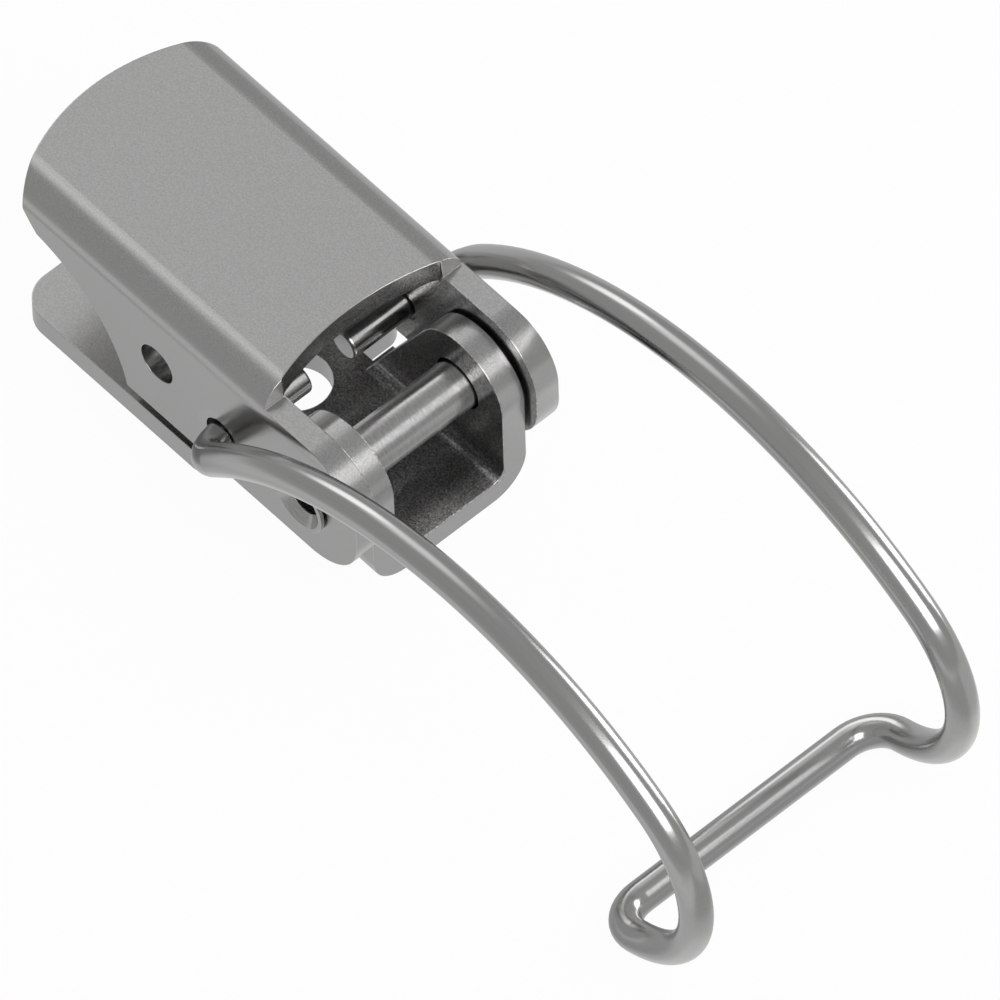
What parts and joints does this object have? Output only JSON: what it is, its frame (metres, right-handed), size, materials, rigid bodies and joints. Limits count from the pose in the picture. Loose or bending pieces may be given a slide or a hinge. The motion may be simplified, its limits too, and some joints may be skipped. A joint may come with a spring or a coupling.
{
  "type": "over centre toggle latch",
  "caption": "Stainless steel over centre toggle latch: folded base plate and lever on a hollow rivet, with a bent wire bail that hooks a catch and is pulled tight as the lever closes.",
  "frame": {"origin": "on the base plate's fixing face, straight below the pivot rivet's axis, on the mid plane", "axes": "+X towards the catch, along the latch; +Y across it, along the pivot; +Z away from the surface that it is fixed to"},
  "size_m": [0.0938, 0.0334, 0.0327],
  "materials": {
    "base_sheet": "satin stainless sheet",
    "lever_sheet": "satin stainless sheet with a fine grain",
    "wire": "bright drawn stainless wire",
    "rivet": "satin turned stainless rivet"
  },
  "bodies": {
    "base": {"base_plate": "base_sheet", "pivot_rivet": "rivet"},
    "lever": {"lever": "lever_sheet"},
    "bail": {"bail": "wire"}
  },
  "joints": [
    {"name": "lever_hinge", "type": "hinge", "parent": "base", "child": "lever", "pos_m": [0, 0, 0.0102], "axis": [0, 1, 0], "range_deg": [0, 170]},
    {"name": "bail_hinge", "type": "hinge", "parent": "lever", "child": "bail", "pos_m": [-0.01025, 0, 0.009], "axis": [0, 1, 0], "range_deg": [-165, 55]}
  ]
}
